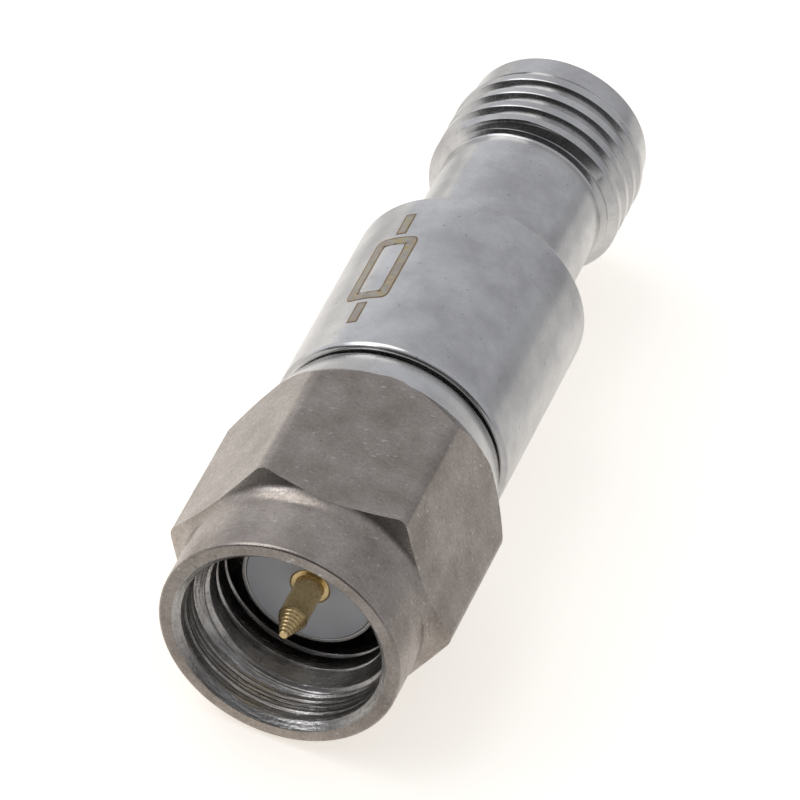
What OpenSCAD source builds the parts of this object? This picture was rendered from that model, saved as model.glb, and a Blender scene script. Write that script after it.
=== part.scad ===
// Coaxial fixed attenuator: a plug with a free-turning hexagon coupling nut at one end,
// a threaded jack at the other, and a resistive card held between them in a turned housing.
// Millimetres. The part lies on a flat of its nut: its axis runs along +Y, from the plug to the jack.

/* [Coupling nut] */
// Width of the hexagon across its flats
hex_af = 8; // [7.7:0.05:9.5]
// Material turned off the hexagon's corners, on the diameter
corner_break = 0.14; // [0.05:0.01:0.4]
// Length of the nut
nut_l = 9.5; // [8.6:0.1:14]
// Diameter of the round collar in front of the hexagon
nose_d = 7.7; // [7.2:0.05:7.9]
// Length of the round collar
nose_l = 2.35; // [1.5:0.05:3.5]
// Slope of the bevel between collar and hexagon, from the face, in degrees
nose_bevel = 30; // [15:1:45]
// Radius of the cove between collar and bevel
nose_cove = 0.6; // [0.2:0.05:0.8]
// Diameter of the nut's rear end
tail_d = 7.25; // [6.9:0.05:7.5]
// Length of the round tail that tapers to the rear end
tail_l = 1.32; // [0.8:0.02:2]
// How far the tail's front edge stands out beyond the middle of the flats
tail_rise = 0.03; // [0.02:0.01:0.1]
// Slope of the bevel between hexagon and tail, from the axis, in degrees
tail_bevel = 34; // [25:1:45]
// Bevel on the nut's front outer edge
nose_edge = 0.15; // [0.05:0.01:0.3]
// Diameter of the mouth's bevel at the front face
mouth_d = 6.85; // [6.6:0.05:7.1]
// Depth of the plain counterbore in front of the nut's internal thread
counterbore_l = 1.3; // [0.6:0.05:1.6]
// Length of the nut's internal thread
nut_thread_l = 1.9; // [1.4:0.05:2.4]
// Crest diameter of the nut's internal thread
nut_crest_d = 5.66; // [5.6:0.02:6]
// Height of the thread, from crest to root; the counterbore and the relief behind it are as deep
nut_thread_h = 0.37; // [0.3:0.01:0.4]
// How far the relief behind the thread reaches past the gasket's seat
relief_past_seat = 0.2; // [0.1:0.05:0.5]

/* [Plug] */
// Depth of the mating plane behind the nut's mouth
ref_depth = 2.7; // [2.2:0.05:3.2]
// Wall of the ferrule's thin front lip
lip_wall = 0.13; // [0.1:0.01:0.2]
// Radial clearance of the lip in a jack of the same kind
lip_gap = 0.12; // [0.08:0.01:0.2]
// Radial clearance of the nut on the journal
journal_gap = 0.05; // [0.02:0.01:0.1]
// How far the ferrule's flange, let into the housing, stands out beyond the shank
flange_step = 0.4; // [0.2:0.02:0.5]
// Thickness of the flange
flange_t = 0.5; // [0.3:0.05:0.8]
// Length of the ferrule's shank inside the housing, flange included
shank_l = 1.4; // [1.2:0.05:2]
// Diameter of the plug's contact pin
pin_d = 0.91; // [0.88:0.01:0.94]
// How far the pin stands out of the mating plane
pin_l = 2.28; // [1.8:0.02:2.5]
// Length of the pin's taper
pin_taper_l = 0.8; // [0.5:0.05:1.1]
// Diameter of the pin's flat tip
pin_tip_d = 0.24; // [0.2:0.02:0.5]

/* [Retaining ring and gasket] */
// Wall of the ferrule under the ring's groove
groove_wall = 0.4; // [0.3:0.02:0.5]
// Depth of the ring's groove in the journal that the nut turns on
groove_depth = 0.3; // [0.2:0.02:0.4]
// Depth of the ring's groove in the nut
nut_groove_depth = 0.4; // [0.3:0.02:0.5]
// Width of both grooves
groove_w = 0.7; // [0.6:0.05:0.9]
// Distance of the grooves' middle from the nut's rear end
groove_back = 2.05; // [1.6:0.05:2.6]
// Thickness of the ring
ring_t = 0.55; // [0.4:0.05:0.55]
// Radial clearance of the ring in the nut's groove
ring_gap = 0.1; // [0.05:0.01:0.15]
// Angle of the ring's split, in degrees
ring_split = 32; // [15:1:60]
// Thickness of the gasket
gasket_t = 0.5; // [0.4:0.05:0.6]
// How far a mated jack presses into the gasket
gasket_squeeze = 0.2; // [0.1:0.02:0.3]

/* [Housing] */
// Gap between the nut and the housing
nut_gap = 0.14; // [0.1:0.02:0.4]
// Wall of the round body around the ferrule's flange
body_wall = 0.51; // [0.3:0.01:0.65]
// Length of the round body
body_l = 7.45; // [7:0.05:16]
// Bevel on the body's front edge
body_front_edge = 0.18; // [0.05:0.01:0.3]
// Bevel on the body's rear edge
body_rear_edge = 0.1; // [0.05:0.01:0.3]
// Wall of the ferrule's shank, between the insulator's collar and the chamber
shank_wall = 0.6; // [0.4:0.02:0.7]
// Thickness of the wall at the end of the chamber
floor_t = 0.88; // [0.85:0.02:1.4]
// Diameter of the neck behind the jack's thread
neck_d = 5.42; // [5.2:0.02:5.6]
// Length of the neck
neck_l = 4.35; // [3:0.05:6]
// Radius of the cove between the neck and the thread's rear bevel
neck_cove = 0.25; // [0.1:0.01:0.5]
// Outside diameter of the jack's thread
thread_d = 6.35; // [6.1:0.01:6.4]
// Length of the threaded part, with its rear bevel
thread_l = 3.33; // [2.4:0.01:5]
// Axial length of the thread's rear bevel
thread_bevel = 0.36; // [0.2:0.02:0.5]
// How far the plain lead lies below the thread's outside
lead_step = 0.185; // [0.1:0.005:0.3]
// Length of the plain lead
lead_l = 0.83; // [0.4:0.01:1.2]
// Bevel on the lead's front edge
lead_edge = 0.12; // [0.05:0.01:0.25]
// Depth of the jack's socket for a plug's lip, down to the mating plane
jack_depth = 1.9; // [1.7:0.02:2]

/* [Coaxial line] */
// Diameter of the insulators
insulator_d = 4.1; // [4:0.02:4.16]
// How far the insulators' collars stand out
collar_step = 0.25; // [0.15:0.01:0.4]
// Length of the insulators' collars
collar_l = 0.8; // [0.4:0.05:0.8]
// Diameter of the centre contacts
contact_d = 1.27; // [1.2:0.01:1.4]
// Diameter of the jack contact's hole
socket_d = 0.94; // [0.92:0.01:1]
// Depth of the jack contact's hole
socket_depth = 2.6; // [2:0.05:3.2]
// Width of the two slots across the jack contact
slot_w = 0.14; // [0.08:0.01:0.15]
// Length of those slots
slot_l = 2.2; // [1.4:0.05:2.5]
// How far the jack contact lies behind the mating plane
contact_recess = 0.05; // [0.02:0.01:0.2]

/* [Attenuator card] */
// Length of the ceramic card
card_l = 3.9; // [3:0.05:4.2]
// Width of the card
card_w = 3.8; // [3.4:0.05:4.4]
// Thickness of the card
card_t = 0.4; // [0.3:0.02:0.5]
// How far each contact's fork reaches over the card
grip_l = 0.6; // [0.4:0.05:0.9]
// Diameter of the air channel around the card
channel_d = 2.9; // [2.7:0.05:3.1]
// Clearance of pieces that are pressed together or lie in a pocket
fit_gap = 0.01; // [0.005:0.005:0.03]

/* [Hidden] */
$fn = 96;

// Stations along the axis, from the nut's mouth
body_s = nut_l + nut_gap;
body_end = body_s + body_l;
neck_end = body_end + neck_l;
thread_s = neck_end + thread_bevel;
lead_s = neck_end + thread_l;
jack_end = lead_s + lead_l;
jack_ref = jack_end - jack_depth;
shank_end = body_s + shank_l;
chamber_end = body_end - floor_t;
plug_collar_s = shank_end - collar_l;
jack_collar_end = chamber_end + collar_l;
seat_s = ref_depth + jack_depth - gasket_squeeze + gasket_t;
nut_thread_end = counterbore_l + nut_thread_l;
groove_s = nut_l - groove_back;
card_s = (shank_end + chamber_end - card_l) / 2;
card_end = card_s + card_l;

// Diameters and radii that follow from the fits
lip_d = insulator_d + 2 * lip_wall;
jack_bore_d = lip_d + 2 * lip_gap;
collar_d = insulator_d + 2 * collar_step;
ring_groove_d = insulator_d + 2 * groove_wall;
journal_d = ring_groove_d + 2 * groove_depth;
nut_bore_r = journal_d / 2 + journal_gap;
nut_groove_d = 2 * (nut_bore_r + nut_groove_depth);
nut_root_d = nut_crest_d + 2 * nut_thread_h;
chamber_d = collar_d + 2 * shank_wall;
flange_d = chamber_d + 2 * flange_step;
body_d = flange_d + 2 * body_wall;
lead_d = thread_d - 2 * lead_step;
corner_r = (hex_af / cos(30) - corner_break) / 2;
lead_in = (mouth_d - nut_root_d) / 2;
line_hole_r = contact_d / 2 + fit_gap;
carrier_r = chamber_d / 2 - fit_gap;
reach = 1;

steel_dark = [0.56, 0.54, 0.52];
steel_bright = [0.73, 0.73, 0.75];
gold = [0.78, 0.62, 0.27];
bronze = [0.72, 0.52, 0.30];
ptfe = [0.90, 0.90, 0.91];
rubber = [0.05, 0.05, 0.05];
alumina = [0.93, 0.91, 0.86];

// Lays a piece that is drawn along +Z from the nut's mouth down on the nut's lower flat.
module lay() translate([0, -jack_end / 2, hex_af / 2]) rotate([-90, 0, 0]) children();

// Turns an outline of [radius, station] points into a solid of revolution.
module turned(outline) rotate_extrude() polygon(outline);

// Points of a cove where an outline that runs along the axis turns outwards by an angle.
function cove(corner_r, corner_s, cove_r, turn) =
    [for (step = [0:4]) let (a = turn * step / 4)
        [corner_r + cove_r * (1 - cos(a)), corner_s + cove_r * (sin(a) - tan(turn / 2))]];

// A plain tube between two stations.
module tube(outer_d, inner_d, from, to)
    turned([[inner_d / 2, from], [outer_d / 2, from], [outer_d / 2, to], [inner_d / 2, to]]);

// A slot through the axis that holds the card, from one station to another.
module card_slot(from, to)
    translate([-card_w / 2, -card_t / 2 - fit_gap, from])
        cube([card_w, card_t + 2 * fit_gap, to - from]);

// Hexagon bar turned to its collar, bevels and tapered tail
module nut_blank() {
    nose_r = nose_d / 2;
    tail_front_r = hex_af / 2 + tail_rise;
    tail_s = nut_l - tail_l;
    intersection() {
        turned([[0, 0], [nose_r - nose_edge, 0], [nose_r, nose_edge],
                each cove(nose_r, nose_l, nose_cove, 90 - nose_bevel),
                [corner_r, nose_l + (corner_r - nose_r) * tan(nose_bevel)],
                [corner_r, tail_s - (corner_r - tail_front_r) / tan(tail_bevel)],
                [tail_front_r, tail_s], [tail_d / 2, nut_l], [0, nut_l]]);
        cylinder(d = hex_af / cos(30), h = nut_l, $fn = 6);
    }
}

// Bore of the nut: mouth, counterbore, thread at its crest, relief, journal bore and ring groove
module nut_bore() {
    root_r = nut_root_d / 2;
    crest_r = nut_crest_d / 2;
    groove_r = nut_groove_d / 2;
    relief_end = seat_s + relief_past_seat;
    turned([[0, -reach], [mouth_d / 2 + reach, -reach], [root_r, lead_in],
            [root_r, counterbore_l], [crest_r, counterbore_l + nut_thread_h],
            [crest_r, nut_thread_end], [root_r, nut_thread_end],
            [root_r, relief_end], [nut_bore_r, relief_end],
            [nut_bore_r, groove_s - groove_w / 2], [groove_r, groove_s - groove_w / 2],
            [groove_r, groove_s + groove_w / 2], [nut_bore_r, groove_s + groove_w / 2],
            [nut_bore_r, nut_l + reach], [0, nut_l + reach]]);
}

// Hexagon coupling nut, turning freely on the plug's journal
module coupling_nut() color(steel_dark) lay() difference() {
    nut_blank();
    nut_bore();
}

// Split spring ring that keeps the nut on the journal
module retaining_ring() {
    ring_od = nut_groove_d - 2 * ring_gap;
    ring_id = ring_groove_d + 2 * fit_gap;
    split = ring_od * sin(ring_split / 2);
    color(bronze) lay() difference() {
        tube(ring_od, ring_id, groove_s - ring_t / 2, groove_s + ring_t / 2);
        translate([-split / 2, -ring_od, groove_s - ring_t])
            cube([split, ring_od, 2 * ring_t]);
    }
}

// Flat sealing ring round the lip, against the journal's step
module gasket() color(rubber) lay()
    tube(journal_d, lip_d + 2 * fit_gap, seat_s - gasket_t, seat_s);

// Outer conductor of the plug: lip, journal with ring groove, flange and pressed shank
module plug_ferrule() {
    bore_r = insulator_d / 2;
    lip_r = lip_d / 2;
    journal_r = journal_d / 2;
    groove_r = ring_groove_d / 2;
    flange_r = flange_d / 2 - fit_gap;
    flange_end = body_s + flange_t;
    collar_r = collar_d / 2;
    color(steel_bright) lay()
        turned([[bore_r, ref_depth], [lip_r, ref_depth], [lip_r, seat_s], [journal_r, seat_s],
                [journal_r, groove_s - groove_w / 2], [groove_r, groove_s - groove_w / 2],
                [groove_r, groove_s + groove_w / 2], [journal_r, groove_s + groove_w / 2],
                [journal_r, body_s], [flange_r, body_s], [flange_r, flange_end],
                [carrier_r, flange_end], [carrier_r, shank_end], [collar_r, shank_end],
                [collar_r, plug_collar_s], [bore_r, plug_collar_s]]);
}

// Insulator of the plug, flush with the lip and kept in by its collar
module plug_insulator() {
    plain_r = insulator_d / 2 - fit_gap;
    collar_r = collar_d / 2 - fit_gap;
    color(ptfe) lay()
        turned([[line_hole_r, ref_depth], [plain_r, ref_depth], [plain_r, plug_collar_s],
                [collar_r, plug_collar_s], [collar_r, shank_end], [line_hole_r, shank_end]]);
}

// Centre contact of the plug: tapered pin, shoulder in the insulator and a fork for the card
module plug_pin() {
    tip_s = ref_depth - pin_l;
    fork_end = card_s + grip_l;
    color(gold) lay() difference() {
        turned([[0, tip_s], [pin_tip_d / 2, tip_s], [pin_d / 2, tip_s + pin_taper_l],
                [pin_d / 2, ref_depth], [contact_d / 2, ref_depth],
                [contact_d / 2, fork_end], [0, fork_end]]);
        card_slot(card_s - fit_gap, fork_end + reach);
    }
}

// Turned housing: round body, neck and the jack's threaded barrel, bored for the line and the card
module housing() {
    body_r = body_d / 2;
    neck_r = neck_d / 2;
    thread_r = thread_d / 2;
    lead_r = lead_d / 2;
    collar_r = collar_d / 2;
    flange_r = flange_d / 2;
    flange_end = body_s + flange_t;
    color(steel_bright) lay()
        turned([[flange_r, body_s], [body_r - body_front_edge, body_s], [body_r, body_s + body_front_edge],
                [body_r, body_end - body_rear_edge], [body_r - body_rear_edge, body_end],
                [neck_r, body_end],
                each cove(neck_r, neck_end, neck_cove, atan2(thread_r - neck_r, thread_bevel)),
                [thread_r, thread_s],
                [thread_r, lead_s - thread_r + lead_r], [lead_r, lead_s], [lead_r, jack_end - lead_edge],
                [lead_r - lead_edge, jack_end], [jack_bore_d / 2, jack_end], [jack_bore_d / 2, jack_ref],
                [insulator_d / 2, jack_ref], [insulator_d / 2, jack_collar_end], [collar_r, jack_collar_end],
                [collar_r, chamber_end], [chamber_d / 2, chamber_end], [chamber_d / 2, flange_end],
                [flange_r, flange_end]]);
}

// Insulator of the jack, kept in by its collar under the carriers
module jack_insulator() {
    plain_r = insulator_d / 2 - fit_gap;
    collar_r = collar_d / 2 - fit_gap;
    color(ptfe) lay()
        turned([[line_hole_r, chamber_end], [collar_r, chamber_end], [collar_r, jack_collar_end],
                [plain_r, jack_collar_end], [plain_r, jack_ref], [line_hole_r, jack_ref]]);
}

// Centre contact of the jack: slotted socket at the mating plane and a fork for the card
module jack_contact() {
    mouth_s = jack_ref - contact_recess;
    fork_s = card_end - grip_l;
    color(gold) lay() difference() {
        tube(contact_d, 0, fork_s, mouth_s);
        translate([0, 0, mouth_s - socket_depth]) cylinder(d = socket_d, h = socket_depth + reach);
        for (turn = [0, 90])
            rotate([0, 0, turn]) translate([-contact_d, -slot_w / 2, mouth_s - slot_l])
                cube([2 * contact_d, slot_w, slot_l + reach]);
        card_slot(fork_s - reach, card_end + fit_gap);
    }
}

// Ceramic card that carries the printed resistors
module attenuator_card() color(alumina) lay()
    translate([-card_w / 2 + fit_gap, -card_t / 2, card_s])
        cube([card_w - 2 * fit_gap, card_t, card_l]);

// One half of the carrier that clamps the card's long edges and grounds them to the housing
module carrier_half() difference() {
    tube(2 * carrier_r, channel_d, shank_end, chamber_end);
    translate([-chamber_d, -fit_gap, shank_end - reach])
        cube([2 * chamber_d, chamber_d, chamber_end - shank_end + 2 * reach]);
    card_slot(card_s - fit_gap, card_end + fit_gap);
}

// Carrier half over the card
module upper_carrier() color(bronze) lay() carrier_half();

// Carrier half under the card
module lower_carrier() color(bronze) lay() rotate([0, 0, 180]) carrier_half();

coupling_nut();
retaining_ring();
gasket();
plug_ferrule();
plug_insulator();
plug_pin();
housing();
jack_insulator();
jack_contact();
attenuator_card();
upper_carrier();
lower_carrier();
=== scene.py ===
"""Looks of the coaxial attenuator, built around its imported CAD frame."""

import math

import bmesh
import bpy
from mathutils import Euler, Matrix, Vector


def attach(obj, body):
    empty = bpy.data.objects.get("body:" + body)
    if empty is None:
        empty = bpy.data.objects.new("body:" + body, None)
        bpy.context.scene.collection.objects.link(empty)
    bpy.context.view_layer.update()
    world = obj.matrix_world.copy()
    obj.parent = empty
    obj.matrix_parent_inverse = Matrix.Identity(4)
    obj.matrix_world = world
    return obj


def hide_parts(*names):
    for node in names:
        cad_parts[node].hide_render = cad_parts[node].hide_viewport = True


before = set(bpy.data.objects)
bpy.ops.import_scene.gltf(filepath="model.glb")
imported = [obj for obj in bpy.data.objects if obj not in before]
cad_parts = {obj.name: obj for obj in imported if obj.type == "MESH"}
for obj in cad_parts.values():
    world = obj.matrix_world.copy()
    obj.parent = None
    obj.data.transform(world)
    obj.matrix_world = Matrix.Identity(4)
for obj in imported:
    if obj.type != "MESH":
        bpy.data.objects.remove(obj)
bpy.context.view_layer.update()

MM = 0.001

# Stations along the axis in millimetres, from the nut's mouth, as in the CAD source
OVERALL = 25.6
AXIS_Z = 4.0
NUT_L = 9.5
COUNTERBORE_L = 1.3
NUT_THREAD_END = 3.2
REF = 2.7
SEAT = 4.9
GASKET_T = 0.5
RELIEF_END = 5.1
RING_S = 7.1
RING_END = 7.8
BODY_S = 9.64
FLANGE_T = 0.5
BODY_END = 17.09
THREAD_S = 21.8
LEAD_S = 24.77
JACK_REF = 23.7
SHANK_END = 11.04
CHAMBER_END = 16.21
COLLAR_L = 0.8
CARD_S = 11.675
CARD_END = 15.575
GRIP = 0.6
PITCH = 0.7056

# Radii in millimetres
HEX_HALF = 4.0
CORNER_R = 4.549
NOSE_R = 3.85
TAIL_FRONT_R = 4.03
TAIL_R = 3.625
MOUTH_R = 3.425
NUT_BORE_R = 2.8
NUT_CREST_R = 2.83
NUT_GROOVE_R = 2.94
NUT_ROOT_R = 3.2
BODY_R = 3.81
FLANGE_R = 3.3
CHAMBER_R = 2.9
NECK_R = 2.71
THREAD_R = 3.175
THREAD_ROOT_R = 2.86
RUN_IN_R = 2.88
LEAD_R = 2.99
JACK_BORE_R = 2.3
COLLAR_R = 2.3
LINE_R = 2.05
LIP_R = 2.18
JOURNAL_R = 2.75
JOURNAL_GROOVE_R = 2.45
CONTACT_R = 0.635
FORK_GAP = 0.42
FIT = 0.01

# 114 steps put the long edges of the nut's six flats on the turned shell's own lines
STEPS = 114
MERGE = 0.0005
SEAM = 0.02


# Modelling

def turn_point(radius, station, angle=0.0):
    """The point at a radius and a station, turned about the axis from straight up towards +X."""
    return Vector((radius * math.sin(angle), station - OVERALL / 2, AXIS_Z + radius * math.cos(angle)))


def angle_of(point):
    """The angle of a point about the axis, from straight up towards +X."""
    return math.atan2(point.x, point.z - AXIS_Z)


def spun(bm, geom, angle, steps, advance=0.0):
    """Spins an outline about the axis; an advance per step makes it a helix."""
    bmesh.ops.spin(bm, geom=geom, cent=(0, 0, AXIS_Z), axis=(0, 1, 0), dvec=(0, advance, 0), angle=angle,
                   steps=steps, use_merge=advance == 0)
    bmesh.ops.remove_doubles(bm, verts=bm.verts, dist=MERGE)


def outline_of(bm, points, closed):
    """Draws an outline of (radius, station, rounding) points and rounds its corners."""
    verts = [bm.verts.new(turn_point(r, s)) for r, s, _ in points]
    ends = verts[1:] + verts[:1] if closed else verts[1:]
    for pair in zip(verts, ends):
        bm.edges.new(pair)
    for rounding in sorted({p[2] for p in points} - {0}):
        corners = [v for v, p in zip(verts, points) if p[2] == rounding]
        bmesh.ops.bevel(bm, geom=corners, offset=rounding, offset_type="OFFSET", segments=6, profile=0.5,
                        affect="VERTICES", material=-1)
    return bm.verts[:] + bm.edges[:]


def turned(points, closed=True):
    """A solid turned from an outline of (radius, station, rounding) points."""
    bm = bmesh.new()
    spun(bm, outline_of(bm, points, closed), 2 * math.pi, STEPS)
    return bm


def threaded(section, first, last, phase):
    """A thread from its section over one pitch, swept along a helix and cut square at two stations."""
    bm = bmesh.new()
    start = first + phase - 2 * PITCH
    turns = math.ceil((last - start) / PITCH) + 1
    geom = outline_of(bm, [(r, start + s, rounding) for r, s, rounding in section], False)
    spun(bm, geom, 2 * math.pi, STEPS, PITCH / STEPS)
    strip = bm.verts[:] + bm.edges[:] + bm.faces[:]
    for turn in range(1, turns):
        copy = bmesh.ops.duplicate(bm, geom=strip)["geom"]
        verts = [g for g in copy if isinstance(g, bmesh.types.BMVert)]
        bmesh.ops.translate(bm, verts=verts, vec=(0, PITCH * turn, 0))
    bmesh.ops.remove_doubles(bm, verts=bm.verts, dist=MERGE)
    for station, way in ((first, -1), (last, 1)):
        bmesh.ops.bisect_plane(bm, geom=bm.verts[:] + bm.edges[:] + bm.faces[:], dist=MERGE / 5,
                               plane_co=turn_point(0, station), plane_no=(0, way, 0), clear_outer=True)
    bmesh.ops.remove_doubles(bm, verts=bm.verts, dist=MERGE)
    return bm


def faded(bm, radius, station, full):
    """Lets a thread run out to one radius at a station; it has its full depth from another station on."""
    for vert in bm.verts:
        share = (vert.co.y + OVERALL / 2 - station) / (full - station)
        if share < 1:
            depth = math.hypot(vert.co.x, vert.co.z - AXIS_Z) - radius
            place = turn_point(radius + depth * max(share, 0), 0, angle_of(vert.co))
            vert.co.x, vert.co.z = place.x, place.z


def joined(bm, other):
    """Adds another mesh's shells to a mesh."""
    mesh = bpy.data.meshes.new("joined")
    other.to_mesh(mesh)
    other.free()
    bm.from_mesh(mesh)
    bpy.data.meshes.remove(mesh)


def closed_by(shell, thread, stations):
    """Joins a thread to the open shell round it and closes the seams at the thread's two ends."""
    joined(shell, thread)
    for station in stations:
        y = station - OVERALL / 2
        rims = [e for e in shell.edges if e.is_boundary and all(abs(v.co.y - y) < 2 * SEAM for v in e.verts)]
        bmesh.ops.bridge_loops(shell, edges=rims)
    return shell


def finished(name, bm, body, node, slot, *materials, pick=None, sharp=28):
    """Makes a piece of a mesh in millimetres, shades it and puts it on its body in place of its CAD node."""
    bmesh.ops.recalc_face_normals(bm, faces=bm.faces)
    if bm.calc_volume(signed=True) < 0:
        bmesh.ops.reverse_faces(bm, faces=bm.faces)
    if pick:
        for face in bm.faces:
            face.material_index = pick(face)
    bmesh.ops.scale(bm, vec=(MM, MM, MM), verts=bm.verts)
    mesh = bpy.data.meshes.new(name)
    bm.to_mesh(mesh)
    bm.free()
    mesh.shade_smooth()
    mesh.set_sharp_from_angle(angle=math.radians(sharp))
    for material in materials:
        mesh.materials.append(material)
    piece = bpy.data.objects.new(name, mesh)
    bpy.context.scene.collection.objects.link(piece)
    weighted = piece.modifiers.new("even shading", "WEIGHTED_NORMAL")
    weighted.keep_sharp = True
    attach(piece, body)
    if node:
        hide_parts(node)
    return piece


# Materials

def linear(code):
    """A colour from its sRGB hex value."""
    parts = [int(code[i:i + 2], 16) / 255 for i in (1, 3, 5)]
    return [p / 12.92 if p <= 0.04045 else ((p + 0.055) / 1.055) ** 2.4 for p in parts] + [1.0]


def add(tree, kind, joins=None, **settings):
    """Adds a node with its settings, and sets or joins its inputs."""
    node = tree.nodes.new(kind)
    for key, value in settings.items():
        setattr(node, key, value)
    for key, value in (joins or {}).items():
        if isinstance(value, bpy.types.NodeSocket):
            tree.links.new(value, node.inputs[key])
        else:
            node.inputs[key].default_value = value
    return node


def started(name):
    """A new material with its node tree, its shader and the object's own coordinates in millimetres."""
    material = bpy.data.materials.new(name)
    material.use_nodes = True
    tree = material.node_tree
    shader = tree.nodes["Principled BSDF"]
    place = add(tree, "ShaderNodeTexCoord")
    scaled = add(tree, "ShaderNodeMapping", {"Vector": place.outputs["Object"], "Scale": (1000, 1000, 1000)})
    return material, tree, shader, scaled.outputs["Vector"]


def steel(name, light, dull, rough, grain, rubbed, pitted, line_l, lines, relief):
    """Passivated stainless steel, turned and then tumbled: a clouded grey that reflects softly, with a fine
    grain, broken turning lines, small bright flecks where it was rubbed and a few dark pits."""
    material, tree, shader, mm = started(name)
    cloud = add(tree, "ShaderNodeTexNoise", {"Vector": mm, "Scale": 1 / CLOUD, "Detail": 4.0, "Roughness": 0.6})
    patina = add(tree, "ShaderNodeMapRange", {"Value": cloud.outputs["Fac"], "From Min": 0.35, "From Max": 0.65})
    tone = add(tree, "ShaderNodeMix", {0: patina.outputs[0], 6: linear(light), 7: linear(dull)}, data_type="RGBA")
    axes = add(tree, "ShaderNodeSeparateXYZ", {0: mm})
    above = add(tree, "ShaderNodeMath", {0: axes.outputs["Z"], 1: AXIS_Z}, operation="SUBTRACT")
    angle = add(tree, "ShaderNodeMath", {0: axes.outputs["X"], 1: above.outputs[0]}, operation="ARCTAN2")
    round_about = add(tree, "ShaderNodeCombineXYZ", {"X": angle.outputs[0], "Y": axes.outputs["Y"]})
    lines_at = add(tree, "ShaderNodeMapping", {"Vector": round_about.outputs[0],
                                               "Scale": (line_l / BODY_R, LINE_W, 1)}, vector_type="TEXTURE")
    turning = add(tree, "ShaderNodeTexNoise", {"Vector": lines_at.outputs[0], "Scale": 1.0, "Detail": 3.0})
    grit = add(tree, "ShaderNodeTexNoise", {"Vector": mm, "Scale": 1 / GRIT, "Detail": 2.0})
    both = add(tree, "ShaderNodeMix", {0: lines, 2: grit.outputs["Fac"], 3: turning.outputs["Fac"]})
    value = add(tree, "ShaderNodeMapRange", {"Value": both.outputs[0], "From Min": 0.3, "From Max": 0.7,
                                             "To Min": 1 - grain, "To Max": 1 + grain})
    colour = add(tree, "ShaderNodeHueSaturation", {"Color": tone.outputs[2], "Value": value.outputs[0]}).outputs[0]
    for size, rarity, tint, strength in ((FLECK, 0.7, "#F2F0EE", rubbed), (PIT, 0.72, "#5A514A", pitted)):
        spots_at = add(tree, "ShaderNodeMapping", {"Vector": mm, "Location": size, "Rotation": (0, 0, 0.35),
                                                   "Scale": size}, vector_type="TEXTURE")
        spots = add(tree, "ShaderNodeTexNoise", {"Vector": spots_at.outputs[0], "Scale": 1.0, "Detail": 1.0})
        mask = add(tree, "ShaderNodeMapRange", {"Value": spots.outputs["Fac"], "From Min": rarity,
                                                "From Max": rarity + 0.05, "To Max": strength})
        colour = add(tree, "ShaderNodeMix", {0: mask.outputs[0], 6: colour, 7: linear(tint)},
                     data_type="RGBA").outputs[2]
    tree.links.new(colour, shader.inputs["Base Color"])
    satin = add(tree, "ShaderNodeMapRange", {"Value": both.outputs[0], "From Min": 0.3, "From Max": 0.7,
                                             "To Min": rough + 0.05, "To Max": rough - 0.05})
    tree.links.new(satin.outputs[0], shader.inputs["Roughness"])
    swell = add(tree, "ShaderNodeTexNoise", {"Vector": mm, "Scale": 1 / SWELL, "Detail": 1.0})
    low = add(tree, "ShaderNodeMath", {0: swell.outputs["Fac"], 1: SWELL_H}, operation="MULTIPLY")
    height = add(tree, "ShaderNodeMath", {0: both.outputs[0], 1: relief, 2: low.outputs[0]}, operation="MULTIPLY_ADD")
    bump = add(tree, "ShaderNodeBump", {"Height": height.outputs[0], "Strength": 1.0, "Distance": MM})
    tree.links.new(bump.outputs[0], shader.inputs["Normal"])
    shader.inputs["Metallic"].default_value = 1.0
    return material


def plain(name, colour, metallic, rough, grain_mm, grain):
    """A finish of one tone with a fine grain that varies its gloss."""
    material, tree, shader, mm = started(name)
    noise = add(tree, "ShaderNodeTexNoise", {"Vector": mm, "Scale": 1 / grain_mm, "Detail": 3.0})
    gloss = add(tree, "ShaderNodeMapRange", {"Value": noise.outputs["Fac"], "To Min": rough - 0.08,
                                             "To Max": rough + 0.08})
    tree.links.new(gloss.outputs[0], shader.inputs["Roughness"])
    bump = add(tree, "ShaderNodeBump", {"Height": noise.outputs["Fac"], "Strength": grain, "Distance": 0.00001})
    tree.links.new(bump.outputs[0], shader.inputs["Normal"])
    shader.inputs["Base Color"].default_value = linear(colour)
    shader.inputs["Metallic"].default_value = metallic
    return material


def annealed(name, tints):
    """Steel coloured by a laser's heat: thin oxide in bands from straw to brown and plum."""
    material, tree, shader, mm = started(name)
    heat = add(tree, "ShaderNodeTexNoise", {"Vector": mm, "Scale": 1 / 0.5, "Detail": 3.0})
    ramp = add(tree, "ShaderNodeValToRGB", {"Fac": heat.outputs["Fac"]})
    for step, tint in enumerate(tints):
        place = 0.3 + 0.4 * step / (len(tints) - 1)
        stop = ramp.color_ramp.elements[step] if step < 2 else ramp.color_ramp.elements.new(place)
        stop.position = place
        stop.color = linear(tint)
    tree.links.new(ramp.outputs["Color"], shader.inputs["Base Color"])
    shader.inputs["Metallic"].default_value = 1.0
    shader.inputs["Roughness"].default_value = 0.38
    return material


# The steel's marks in millimetres; grit and turning lines are drawn coarser than the real ones, to show
CLOUD = 1.5
LINE_W = 0.07
GRIT = 0.09
SWELL = 1.5
SWELL_H = 0.012
FLECK = (0.26, 0.1, 0.26)
PIT = (0.14, 0.14, 0.14)

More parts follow.
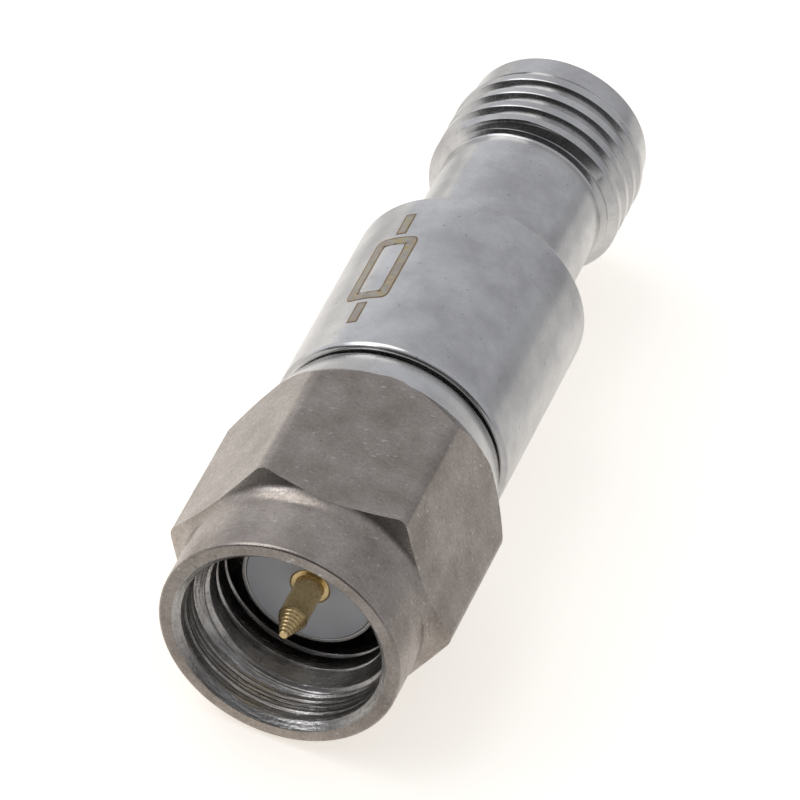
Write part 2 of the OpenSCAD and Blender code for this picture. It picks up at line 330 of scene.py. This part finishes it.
NUT_STEEL = steel("tumbled stainless steel", "#B6ADA5", "#9B928A", rough=0.29, grain=0.18, rubbed=0.38,
                  pitted=0.4, line_l=0.4, lines=0.3, relief=0.004)
BORE_STEEL = steel("bored stainless steel", "#CFCCC8", "#A5A19D", rough=0.3, grain=0.3, rubbed=0.3,
                   pitted=0.4, line_l=1.0, lines=0.65, relief=0.03)
HOUSING_STEEL = steel("polished stainless steel", "#DEDDDB", "#C6C5C4", rough=0.2, grain=0.04, rubbed=0.0,
                      pitted=0.35, line_l=0.6, lines=0.4, relief=0.001)

# Plating and turned metals gleam softly, PTFE is a waxy white, silicone and alumina are matt
FERRULE_STEEL = plain("turned stainless steel", "#C9C7C5", 1.0, 0.3, 0.08, 0.2)
GOLD = plain("gold plating", "#EDD29C", 1.0, 0.27, 0.1, 0.2)
PTFE = plain("turned ptfe", "#E8EAEE", 0.0, 0.45, 0.12, 0.3)
SILICONE = plain("moulded silicone rubber", "#141414", 0.0, 0.6, 0.1, 0.3)
BRONZE = plain("spring bronze", "#C08A52", 1.0, 0.32, 0.1, 0.2)
BRASS = plain("turned brass", "#C9A35B", 1.0, 0.3, 0.1, 0.2)
ALUMINA = plain("fired alumina", "#EFEAE0", 0.0, 0.55, 0.05, 0.3)

# The sign's lines: a faint straw tint with a browner edge
MARK_FILL = annealed("laser annealed steel", ["#B9AC86", "#B5B1A6", "#ABA096", "#C6B78F"])
MARK_EDGE = annealed("laser burnt steel", ["#80664A", "#9C8358", "#7A6660"])


# Housing: round body, neck and threaded barrel

def thread_section(crest, root, crest_w, rounding):
    """One pitch of a sixty degree thread as (radius, station, rounding), from one root to the next."""
    flank = abs(crest - root) * math.tan(math.radians(30))
    root_w = PITCH - crest_w - 2 * flank
    return [(root, 0, 0), (root, root_w, 0.01), (crest, root_w + flank, rounding),
            (crest, root_w + flank + crest_w, rounding), (root, PITCH, 0)]


def make_housing():
    """The housing in one shell: its turned outline from one end of the thread round to the other."""
    start_s, phase, crest_w, rounding = THREAD_S + 0.12, -0.07, 0.28, 0.035
    run_in, run_out, flank_l = 0.19, 0.05, 0.1
    thread = threaded(thread_section(THREAD_R, THREAD_ROOT_R, crest_w, rounding), start_s, LEAD_S, phase)
    faded(thread, RUN_IN_R, start_s, start_s + run_in)
    faded(thread, LEAD_R, LEAD_S, LEAD_S - run_out)
    step_s, inner_s = BODY_S + FLANGE_T, CHAMBER_END + COLLAR_L
    shell = turned([
        (RUN_IN_R, start_s - SEAM, 0), (NECK_R, start_s - SEAM - flank_l, 0.06),
        (NECK_R, BODY_END, 0.08), (BODY_R, BODY_END, 0.1),
        (BODY_R, BODY_S, 0.2), (FLANGE_R, BODY_S, 0), (FLANGE_R, step_s, 0), (CHAMBER_R, step_s, 0),
        (CHAMBER_R, CHAMBER_END, 0), (COLLAR_R, CHAMBER_END, 0), (COLLAR_R, inner_s, 0), (LINE_R, inner_s, 0),
        (LINE_R, JACK_REF, 0), (JACK_BORE_R, JACK_REF, 0), (JACK_BORE_R, OVERALL, 0.1), (LEAD_R, OVERALL, 0.12),
        (LEAD_R, LEAD_S + SEAM, 0)], False)
    closed_by(shell, thread, (start_s, LEAD_S))
    return finished("housing_turned", shell, "body", "housing", "housing_steel", HOUSING_STEEL)


def make_mark():
    """A resistor's sign, a box between two leads, annealed into the body: a thin skin with a burnt edge."""
    stroke, edge, skin, turn_r = 0.36, 0.05, 0.016, 0.25
    lead, box_l, box_h = 1.0, 3.1, 1.5
    first_s, middle = 10.8, math.radians(-36)
    start, end, half = lead + stroke / 2, lead + stroke / 2 + box_l, box_h / 2
    bm = bmesh.new()
    for line, closed in (([(0, stroke / 2), (lead, stroke / 2)], False),
                         ([(start, -half), (end, -half), (end, half), (start, half)], True),
                         ([(end + stroke / 2, stroke / 2), (end + stroke / 2 + lead, stroke / 2)], False)):
        part = bmesh.new()
        path = [part.verts.new((s, across, 0)) for s, across in line]
        for pair in zip(path, path[1:] + path[:1] if closed else path[1:]):
            part.edges.new(pair)
        if closed:
            bmesh.ops.bevel(part, geom=path, offset=turn_r, offset_type="OFFSET", segments=4, profile=0.5,
                            affect="VERTICES", material=-1)
        wall = bmesh.ops.extrude_edge_only(part, edges=part.edges[:])["geom"]
        bmesh.ops.translate(part, verts=[g for g in wall if isinstance(g, bmesh.types.BMVert)], vec=(0, 0, skin))
        bmesh.ops.recalc_face_normals(part, faces=part.faces)
        bmesh.ops.solidify(part, geom=part.faces[:], thickness=stroke)
        bmesh.ops.recalc_face_normals(part, faces=part.faces)
        top = [f for f in part.faces if f.normal.z > 0.9]
        for face in bmesh.ops.inset_region(part, faces=top, thickness=edge, use_even_offset=True)["faces"]:
            face.material_index = 1
        joined(bm, part)
    bmesh.ops.subdivide_edges(bm, edges=bm.edges, cuts=5, use_grid_fill=True)
    for vert in bm.verts:
        place = middle + vert.co.y / BODY_R
        vert.co = turn_point(BODY_R - skin / 2 + vert.co.z, first_s + vert.co.x, place)
    return finished("resistor_sign", bm, "body", None, "housing_steel", MARK_FILL, MARK_EDGE)


# Coupling nut: turned shell, hexagon flats and internal thread

def nut_finish(face):
    """Which finish a face of the nut has: 0 tumbled outside, 1 bored inside, 2 bright on the tail."""
    middle = face.calc_center_median()
    radius = math.hypot(middle.x, middle.z - AXIS_Z)
    if radius < MOUTH_R - 0.01:
        return 1
    return 2 if face.normal.y > 0.2 and radius < TAIL_FRONT_R else 0


def make_nut():
    """The nut in one shell: its turned outline and thread, cut to six flats with worn edges."""
    phase, crest_w, rounding = 0.52, 0.55, 0.02
    section = thread_section(NUT_CREST_R, NUT_GROOVE_R, crest_w, rounding)
    thread = threaded(section, COUNTERBORE_L, NUT_THREAD_END, phase)
    faded(thread, NUT_ROOT_R, COUNTERBORE_L, COUNTERBORE_L + NUT_ROOT_R - NUT_CREST_R)
    nose_l, tail_l, cove, wear = 2.35, 1.32, 0.34, 0.11
    front_slope, rear_slope = math.radians(30), math.radians(34)
    bevel_front = (CORNER_R - NOSE_R) * math.tan(front_slope)
    bevel_back = (CORNER_R - TAIL_FRONT_R) / math.tan(rear_slope)
    tail_s = NUT_L - tail_l
    chamfer_s = MOUTH_R - NUT_ROOT_R
    mark_count, mark_depth = 13, 0.032
    mark_step = (COUNTERBORE_L - chamfer_s) / mark_count
    tool_marks = [(NUT_ROOT_R + mark_depth * math.sin(2.3 * i) * math.sin(0.9 * i), COUNTERBORE_L - mark_step * i, 0)
                  for i in range(1, mark_count)]
    shell = turned([
        (NUT_ROOT_R, COUNTERBORE_L - SEAM, 0), *tool_marks, (NUT_ROOT_R, chamfer_s, 0), (MOUTH_R, 0, 0.03),
        (NOSE_R, 0, 0.12), (NOSE_R, nose_l, cove), (CORNER_R, nose_l + bevel_front, 0),
        (CORNER_R, tail_s - bevel_back, 0), (TAIL_FRONT_R, tail_s, 0), (TAIL_R, NUT_L, 0.05),
        (NUT_BORE_R, NUT_L, 0.06), (NUT_BORE_R, RING_END, 0), (NUT_ROOT_R, RING_END, 0), (NUT_ROOT_R, RING_S, 0),
        (NUT_BORE_R, RING_S, 0), (NUT_BORE_R, RELIEF_END, 0), (NUT_ROOT_R, RELIEF_END, 0),
        (NUT_ROOT_R, NUT_THREAD_END + SEAM, 0)], False)
    flats = []
    for sixth in range(6):
        away = turn_point(1, OVERALL / 2, sixth * math.pi / 3) - turn_point(0, OVERALL / 2)
        cut = bmesh.ops.bisect_plane(shell, geom=shell.verts[:] + shell.edges[:] + shell.faces[:], dist=4 * MERGE,
                                     plane_co=turn_point(0, OVERALL / 2) + away * HEX_HALF, plane_no=away,
                                     clear_outer=True)["geom_cut"]
        rim = [g for g in cut if isinstance(g, bmesh.types.BMEdge) and g.is_boundary]
        flats += bmesh.ops.edgeloop_fill(shell, edges=rim)["faces"]
    edges = {e for f in flats for e in f.edges}
    long_edges = [e for e in edges if abs(e.verts[0].co.y - e.verts[1].co.y) > 2]
    bmesh.ops.bevel(shell, geom=long_edges, offset=wear, offset_type="OFFSET", segments=4, profile=0.5,
                    affect="EDGES", material=-1)
    closed_by(shell, thread, (COUNTERBORE_L, NUT_THREAD_END))
    return finished("coupling_nut_hexagon", shell, "nut", "coupling_nut", "nut_steel",
                    NUT_STEEL, BORE_STEEL, HOUSING_STEEL, pick=nut_finish, sharp=16)


# Plug: ferrule, gasket, insulator and pin

def make_plug():
    """The pieces of the plug that show in the nut's mouth."""
    bevel = 0.03
    finished("plug_ferrule_turned", turned([
        (LINE_R, REF, bevel), (LIP_R, REF, bevel), (LIP_R, SEAT, 0.05), (JOURNAL_R, SEAT, 0.06),
        (JOURNAL_R, RING_S, 0), (JOURNAL_GROOVE_R, RING_S, 0), (JOURNAL_GROOVE_R, RING_END, 0),
        (JOURNAL_R, RING_END, 0), (JOURNAL_R, BODY_S, 0.05), (FLANGE_R - FIT, BODY_S, 0.05),
        (FLANGE_R - FIT, BODY_S + FLANGE_T, 0), (CHAMBER_R - FIT, BODY_S + FLANGE_T, 0),
        (CHAMBER_R - FIT, SHANK_END, 0.05), (COLLAR_R, SHANK_END, 0), (COLLAR_R, SHANK_END - COLLAR_L, 0),
        (LINE_R, SHANK_END - COLLAR_L, 0)]), "body", "plug_ferrule", "ferrule_steel", FERRULE_STEEL)
    finished("gasket_ring", turned([
        (LIP_R + FIT, SEAT - GASKET_T, 0.12), (JOURNAL_R, SEAT - GASKET_T, 0.12), (JOURNAL_R, SEAT, 0.05),
        (LIP_R + FIT, SEAT, 0.05)]), "body", "gasket", "gasket_rubber", SILICONE)
    finished("plug_insulator_turned", turned([
        (CONTACT_R + FIT, REF, 0.02), (LINE_R - FIT, REF, 0.04), (LINE_R - FIT, SHANK_END - COLLAR_L, 0),
        (COLLAR_R - FIT, SHANK_END - COLLAR_L, 0.04), (COLLAR_R - FIT, SHANK_END, 0.04),
        (CONTACT_R + FIT, SHANK_END, 0)]), "body", "plug_insulator", "plug_ptfe", PTFE)


# Centre contacts and the jack's insulator

def prongs(first, last):
    """The two half-round prongs of a contact's fork, above and below the card."""
    bm = bmesh.new()
    for side in (1, -1):
        half = turned([(0, first, 0), (CONTACT_R, first, 0.03), (CONTACT_R, last, 0.03), (0, last, 0)], False)
        cut = bmesh.ops.bisect_plane(half, geom=half.verts[:] + half.edges[:] + half.faces[:], dist=MERGE / 5,
                                     plane_co=(0, 0, AXIS_Z + side * FORK_GAP / 2), plane_no=(0, 0, -side),
                                     clear_outer=True)["geom_cut"]
        bmesh.ops.edgeloop_fill(half, edges=[g for g in cut if isinstance(g, bmesh.types.BMEdge)])
        joined(bm, half)
    return bm


def make_pin():
    """The plug's pin: flat tip, taper with the tool's rings, shoulder at the insulator and the fork behind."""
    pin_r, tip_r, tip_s, taper_l, rings = 0.455, 0.12, 0.42, 0.8, 7
    shoulder_r, lift, reach = 0.6, 0.42, 0.25
    rise, run = (pin_r - tip_r) / rings, taper_l / rings
    taper = []
    for ring in range(rings):
        taper.append((tip_r + rise * ring, tip_s + run * ring, 0))
        taper.append((tip_r + rise * (ring + lift), tip_s + run * (ring + reach), 0))
    bm = turned([(0, tip_s, 0), *taper, (pin_r, tip_s + taper_l, 0), (pin_r, REF, 0.02), (shoulder_r, REF, 0.01),
                 (CONTACT_R, REF + 0.04, 0), (CONTACT_R, CARD_S, 0), (0, CARD_S, 0)], False)
    joined(bm, prongs(CARD_S, CARD_S + GRIP))
    finished("plug_pin_turned", bm, "body", "plug_pin", "pin_gold", GOLD, sharp=15)


def make_contact():
    """The jack's contact: four spring fingers round the hole, a solid stem and the fork."""
    mouth_s, slot_l, hole_l, hole_r, slot_w = JACK_REF - 0.05, 2.2, 2.6, 0.47, 0.14
    bm = turned([(0, CARD_END, 0), (CONTACT_R, CARD_END, 0), (CONTACT_R, mouth_s - slot_l, 0),
                 (hole_r, mouth_s - slot_l, 0), (hole_r, mouth_s - hole_l, 0), (0, mouth_s - hole_l, 0)], False)
    joined(bm, prongs(CARD_END - GRIP, CARD_END))
    gap = 2 * math.asin(slot_w / 2 / hole_r)
    for quarter in range(4):
        finger = bmesh.new()
        outline_of(finger, [(hole_r, mouth_s - slot_l, 0), (CONTACT_R, mouth_s - slot_l, 0),
                            (CONTACT_R, mouth_s, 0.03), (hole_r, mouth_s, 0.06)], True)
        face = bmesh.ops.contextual_create(finger, geom=finger.edges)["faces"]
        bmesh.ops.rotate(finger, verts=finger.verts, cent=(0, 0, AXIS_Z),
                         matrix=Matrix.Rotation(quarter * math.pi / 2 + gap / 2, 3, "Y"))
        bmesh.ops.spin(finger, geom=finger.verts[:] + finger.edges[:] + face, cent=(0, 0, AXIS_Z), axis=(0, 1, 0),
                       angle=math.pi / 2 - gap, steps=STEPS // 8)
        joined(bm, finger)
    finished("jack_contact_slotted", bm, "body", "jack_contact", "contact_gold", GOLD)


def make_jack():
    """The jack's insulator, flush with the mating plane."""
    finished("jack_insulator_turned", turned([
        (CONTACT_R + FIT, CHAMBER_END, 0), (COLLAR_R - FIT, CHAMBER_END, 0.04),
        (COLLAR_R - FIT, CHAMBER_END + COLLAR_L, 0.04), (LINE_R - FIT, CHAMBER_END + COLLAR_L, 0),
        (LINE_R - FIT, JACK_REF, 0.04), (CONTACT_R + FIT, JACK_REF, 0.02)]),
        "body", "jack_insulator", "jack_ptfe", PTFE)


# Setting: floor, light and camera

def make_floor():
    """A wide pale floor that renders white and keeps the shadow; in reflections it glows with a painted pool of
    light.
    """
    bm = bmesh.new()
    bmesh.ops.create_grid(bm, x_segments=1, y_segments=1, size=3)
    mesh = bpy.data.meshes.new("floor")
    bm.to_mesh(mesh)
    bm.free()
    floor = bpy.data.objects.new("floor", mesh)
    bpy.context.scene.collection.objects.link(floor)
    material = bpy.data.materials.new("white paper floor")
    material.use_nodes = True
    tree = material.node_tree
    shader = tree.nodes["Principled BSDF"]
    shader.inputs["Base Color"].default_value = linear("#EEECE8")
    shader.inputs["Roughness"].default_value = 1.0
    shader.inputs["Specular IOR Level"].default_value = 0.0
    shader.inputs["Emission Color"].default_value = linear("#FFF9F0")
    rays = add(tree, "ShaderNodeLightPath")
    mirrored = add(tree, "ShaderNodeMath", {0: rays.outputs["Is Glossy Ray"], 1: rays.outputs["Is Transmission Ray"]},
                   operation="ADD")
    place = add(tree, "ShaderNodeTexCoord")
    axes = add(tree, "ShaderNodeSeparateXYZ", {0: place.outputs["Object"]})
    # Painted reflection: glossy and transmission rays see the floor glow as a painted pool of light under the part,
    # brighter on its left and dark in front, which polished steel mirrors
    aside = add(tree, "ShaderNodeMath", {0: axes.outputs["X"]}, operation="ABSOLUTE")
    pool = add(tree, "ShaderNodeMapRange", {"Value": aside.outputs[0], "From Min": 0.004, "From Max": 0.016,
                                            "To Min": 0.45, "To Max": 0.05}, interpolation_type="SMOOTHSTEP")
    left = add(tree, "ShaderNodeVectorMath", {0: place.outputs["Object"], 1: (-1, -0.7, 0)}, operation="DOT_PRODUCT")
    painted_left_light = add(tree, "ShaderNodeMapRange", {"Value": left.outputs["Value"], "From Max": 0.012, "To Max": 0.25})
    front = add(tree, "ShaderNodeMapRange", {"Value": axes.outputs["Y"], "From Min": -0.016, "From Max": -0.011,
                                             "To Min": 0.1, "To Max": 1.0}, interpolation_type="SMOOTHSTEP")
    glow = add(tree, "ShaderNodeMath", {0: pool.outputs[0], 1: painted_left_light.outputs[0]}, operation="ADD")
    painted_reflection_glow = add(tree, "ShaderNodeMath", {0: glow.outputs[0], 1: front.outputs[0]}, operation="MULTIPLY")
    seen = add(tree, "ShaderNodeMath", {0: mirrored.outputs[0], 1: painted_reflection_glow.outputs[0]}, operation="MULTIPLY")
    # Camera rays get an even lift to white; glossy and transmission rays add the painted reflection glow
    lift = add(tree, "ShaderNodeMath", {0: rays.outputs["Is Camera Ray"], 1: 0.62, 2: seen.outputs[0]},
               operation="MULTIPLY_ADD")
    tree.links.new(lift.outputs[0], shader.inputs["Emission Strength"])
    mesh.materials.append(material)


# The room's brightness: name, direction, cosines between which it changes, factor before and after
ROOM = [
    ("backdrop", (0, 1, 0), -1, 1, 0.55, 0.55),
    ("bright wall on the left", (-0.95, 0.3, -0.1), 0.2, 0.95, 1.0, 1.4),
    ("dim wall on the right", (0.85, 0.5, 0.1), 0.4, 0.95, 1.0, 0.88),
    ("dim edge of the floor behind", (0.66, 0.73, 0.06), 0.975, 0.995, 1.0, 0.85),
    ("dark side behind the camera", (0, -1, -0.05), 0.3, 0.88, 1.0, 0.22),
    ("darkest strip in front", (-0.15, -0.97, 0.2), 0.86, 0.97, 1.0, 0.18),
    ("dark end on its right", (0.46, -0.887, 0.05), 0.84, 0.95, 1.0, 0.4),
    ("darkest corner on its left", (-0.75, -0.63, 0.1), 0.84, 0.97, 1.0, 0.15),
    ("pale panel on the left", (-0.68, -0.56, 0.46), 0.96, 0.985, 1.0, 8.0),
]


def make_light():
    """A pale room, dark behind the camera, and one broad soft lamp high on the left."""
    world = bpy.data.worlds.new("studio")
    world.use_nodes = True
    bpy.context.scene.world = world
    tree = world.node_tree
    place = add(tree, "ShaderNodeTexCoord")
    level = None
    for name, way, first, last, low, high in ROOM:
        towards = add(tree, "ShaderNodeVectorMath", {0: place.outputs["Generated"], 1: Vector(way).normalized()},
                      operation="DOT_PRODUCT", label=name)
        glow = add(tree, "ShaderNodeMapRange", {"Value": towards.outputs["Value"], "From Min": first,
                                                "From Max": last, "To Min": low, "To Max": high},
                   interpolation_type="SMOOTHSTEP")
        level = glow.outputs[0] if level is None else add(
            tree, "ShaderNodeMath", {0: level, 1: glow.outputs[0]}, operation="MULTIPLY").outputs[0]
    tree.links.new(level, tree.nodes["Background"].inputs["Strength"])
    tree.nodes["Background"].inputs["Color"].default_value = linear("#F3F5FC")
    lamp_data = bpy.data.lights.new("softbox", "AREA")
    lamp_data.shape = "DISK"
    lamp_data.size = 0.45
    lamp_data.energy = 0.62
    lamp = bpy.data.objects.new("softbox", lamp_data)
    bpy.context.scene.collection.objects.link(lamp)
    lamp.location = (-0.3, 0, 0.4)
    lamp.rotation_euler = (-lamp.location).to_track_quat("-Z", "Y").to_euler()


def make_camera():
    """The photograph's view: from the front, high up and a little rolled, through a long lens."""
    azimuth, elevation, roll = math.radians(10.48), math.radians(43.97), math.radians(13.84)
    distance = 247.2 * MM
    target = Vector((-0.44, -0.65, 3.42)) * MM
    data = bpy.data.cameras.new("camera")
    data.lens = 360
    data.sensor_width = 36
    data.clip_start = 0.01
    camera = bpy.data.objects.new("camera", data)
    bpy.context.scene.collection.objects.link(camera)
    turn = Euler((math.pi / 2 - elevation, 0, azimuth), "XYZ").to_matrix() @ Matrix.Rotation(roll, 3, "Z")
    camera.rotation_euler = turn.to_euler()
    camera.location = target + turn @ Vector((0, 0, distance))
    bpy.context.scene.camera = camera


make_housing()
make_mark()
make_nut()
make_plug()
make_jack()
make_pin()
make_contact()
for node, material in {"retaining_ring": BRONZE, "upper_carrier": BRASS,
                       "lower_carrier": BRASS, "attenuator_card": ALUMINA}.items():
    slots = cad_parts[node].data.materials
    slots.clear()
    slots.append(material)
make_floor()
make_light()
make_camera()
bpy.context.scene.view_settings.view_transform = "Standard"
